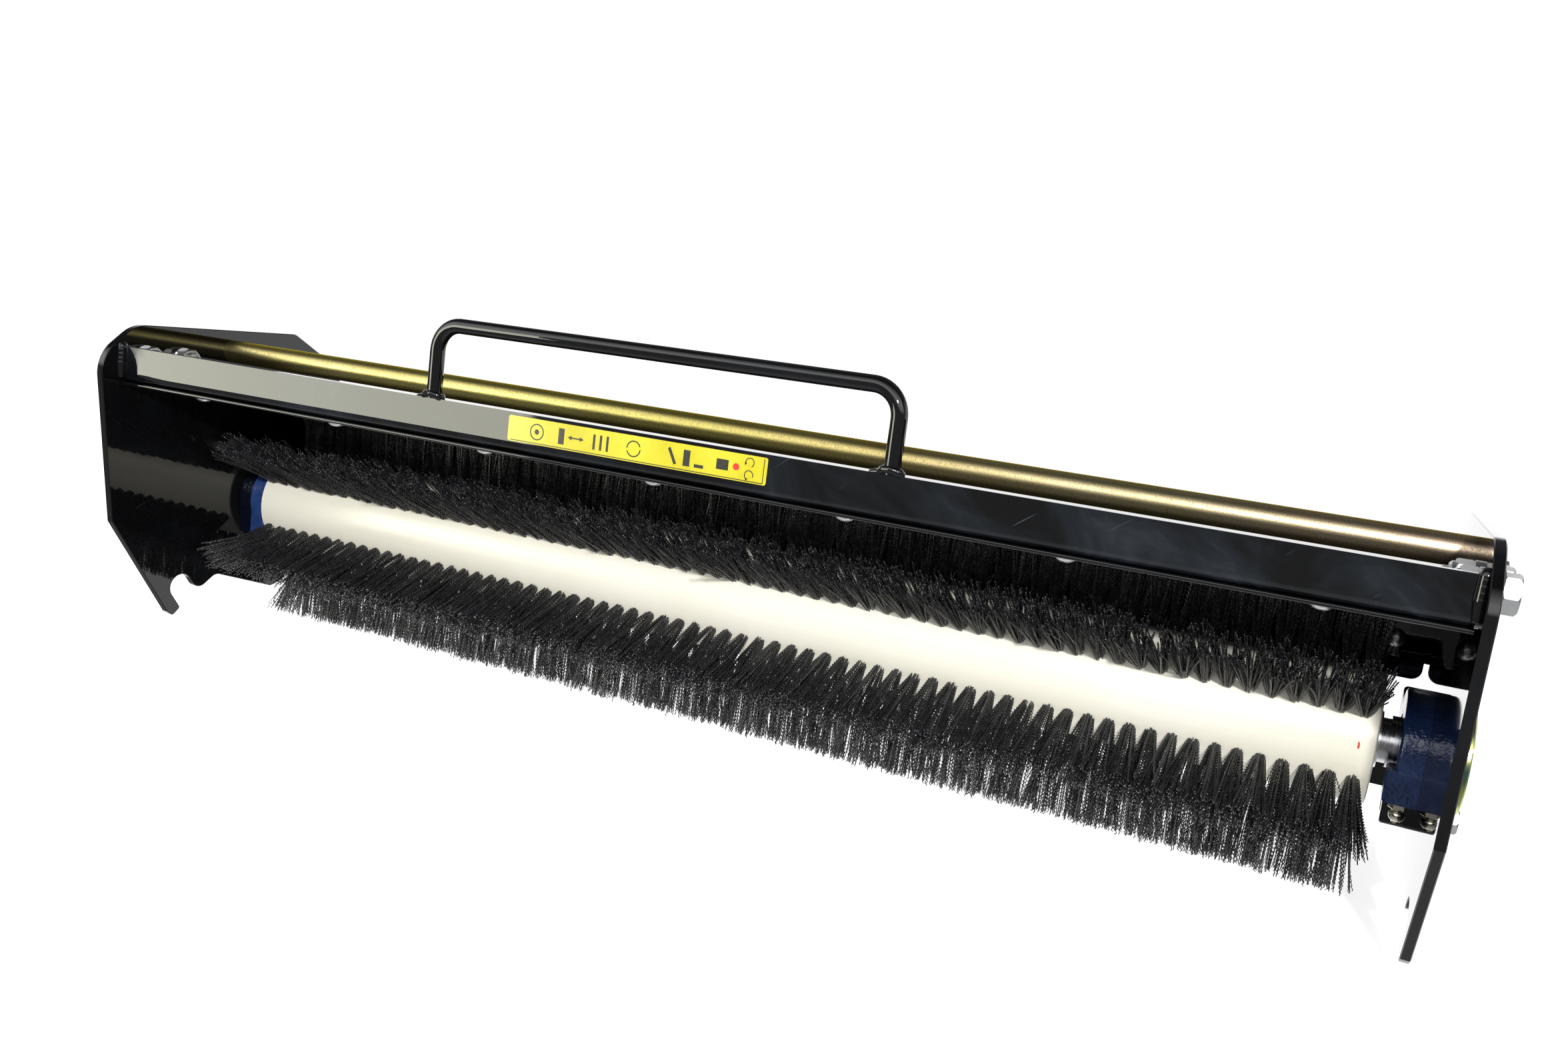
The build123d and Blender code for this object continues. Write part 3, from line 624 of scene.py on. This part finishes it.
def paint_tick():
    """Small red setting mark near the driven end of the core."""
    angles = np.radians(np.linspace(*TICK_TURN, len(TICK_LEFT)))
    left, right = TICK_X[0] + np.array(TICK_LEFT), TICK_X[1] + np.array(TICK_RIGHT)
    top = CORE_R + PAINT_HEIGHT
    corners = ((left, CORE_R), (right, CORE_R), (right, top), (left, top))
    ring = [np.stack([x, r * np.cos(angles), r * np.sin(angles)], -1) for x, r in corners]
    mesh = grid_mesh("paint_tick", np.stack(ring, 1)[None] * MM)
    mesh.polygons.foreach_set("use_smooth", [False] * len(mesh.polygons))
    dress(mesh_object("paint_tick", mesh), ink("red_paint", (0.55, 0.05, 0.04)), "brush")


paint_tick()


# ---- floor ----------------------------------------------------------------
FLOOR_Z = -0.0688
FLOOR_HALF = 9
GLOW = 0.25                # light the floor gives off by itself
GLOW_SEEN = 0.8            # the same, as the camera sees it

paper = Surface("paper", Roughness=0.8, Specular_IOR_Level=0.1, Emission_Color=(1.0, 1.0, 1.0))
seen = paper.add("ShaderNodeLightPath").outputs["Is Camera Ray"]
paper.set(
    Base_Color=paper.ramp(paper.noise(0.3, 3), (0.3, (0.92,) * 3), (0.7, (0.95,) * 3)),
    Emission_Strength=paper.fit(seen, (0.0, 1.0), (GLOW, GLOW_SEEN)))
sheet = bpy.data.meshes.new("floor")
corners = [(-1, -1), (1, -1), (1, 1), (-1, 1)]
sheet.from_pydata([(x * FLOOR_HALF, y * FLOOR_HALF, FLOOR_Z) for x, y in corners],
                  [], [(0, 1, 2, 3)])
floor = mesh_object("floor", sheet)
floor.data.materials.append(paper.mat)
floor.visible_glossy = False


# ---- lamps ----------------------------------------------------------------
def lamp(name, where, target, size, watts, colour=(1, 1, 1)):
    """Area lamp of size (width, height) aimed at the target."""
    data = bpy.data.lights.new(name, "AREA")
    data.shape = "RECTANGLE"
    data.size, data.size_y = size
    data.energy, data.color = watts, colour
    ob = link(bpy.data.objects.new(name, data))
    ob.location = where
    ob.rotation_euler = (Vector(target) - Vector(where)).to_track_quat("-Z", "Y").to_euler()
    ob.visible_camera = False
    return ob


MIDDLE = (0.0, 0.0, 0.0)
BAR_LEFT = (-0.15, -0.116, 0.08)  # left part of the crossbar's front face
lamp("key", (0.60, -1.45, 0.60), MIDDLE, (0.075, 0.075), 24.0, (1.0, 0.985, 0.955))
overhead = lamp("overhead", (0.0, -0.1, 1.3), MIDDLE, (2.0, 0.5), 9)
overhead.visible_glossy = False
left_card = lamp("left_card", (-0.86, -0.85, 0.06), BAR_LEFT, (0.46, 0.46), 5.2, (1.0, 1.0, 0.84))
left_card.visible_diffuse = False  # shows in reflections and lights nothing else


# ---- surroundings ---------------------------------------------------------
# The room is plain white. In reflections its brightness changes with direction.
ROOM_LIGHT = 0.25          # light the room gives to matt surfaces
ROOM_SEEN = 1.05           # the same, as the camera sees it

world = bpy.data.worlds.new("world")
scene.world = world
world.use_nodes = True
room = Nodes(world.node_tree, "Generated")
behind = room.fit(room.axis("Y"), (0.0, 0.35), (0.25, 1.5))
not_overhead = room.fit(room.axis("Z"), (0.2, 0.55), (1.0, 0.1))
below = room.fit(room.axis("Z"), (-0.45, -0.75), (0.0, 0.5))
front = room.fit(room.axis("Y"), (-0.15, -0.4), (0.0, 2.6))
rise = room.fit(room.axis("Z"), (0.08, 0.25), (0.0, 1.0))
fall = room.fit(room.axis("Z"), (0.45, 0.88), (1.0, 0.0))
back_wall = room.math("MULTIPLY", behind, not_overhead)
front_strip = room.math("MULTIPLY", room.math("MULTIPLY", front, rise), fall)
shine = room.math("MAXIMUM", room.math("MAXIMUM", back_wall, below), front_strip)
ray = room.add("ShaderNodeLightPath")
plain = room.fit(ray.outputs["Is Camera Ray"], (0.0, 1.0), (ROOM_LIGHT, ROOM_SEEN))
choose = room.add("ShaderNodeMix", ray.outputs["Is Glossy Ray"])
room.feed(choose.inputs[2], plain)
room.feed(choose.inputs[3], shine)
background = room.tree.nodes["Background"]
room.feed(background.inputs["Strength"], choose.outputs[0])
room.feed(background.inputs["Color"], (1, 1, 1))


# ---- camera ---------------------------------------------------------------
CAMERA_AT = (0.27545, -0.58441, 0.13985)
CAMERA_TURN = (            # its columns are the camera's right, up and back
    (0.9010, -0.1719, 0.3984),
    (0.4166, 0.0864, -0.9050),
    (0.1211, 0.9813, 0.1494),
)

camera = bpy.data.cameras.new("camera")
camera.lens = 29.28
camera.sensor_width = 36
camera.clip_start = 0.01
camera_ob = link(bpy.data.objects.new("camera", camera))
camera_ob.matrix_world = Matrix.Translation(CAMERA_AT) @ Matrix(CAMERA_TURN).to_4x4()
scene.camera = camera_ob
scene.view_settings.view_transform = "Standard"
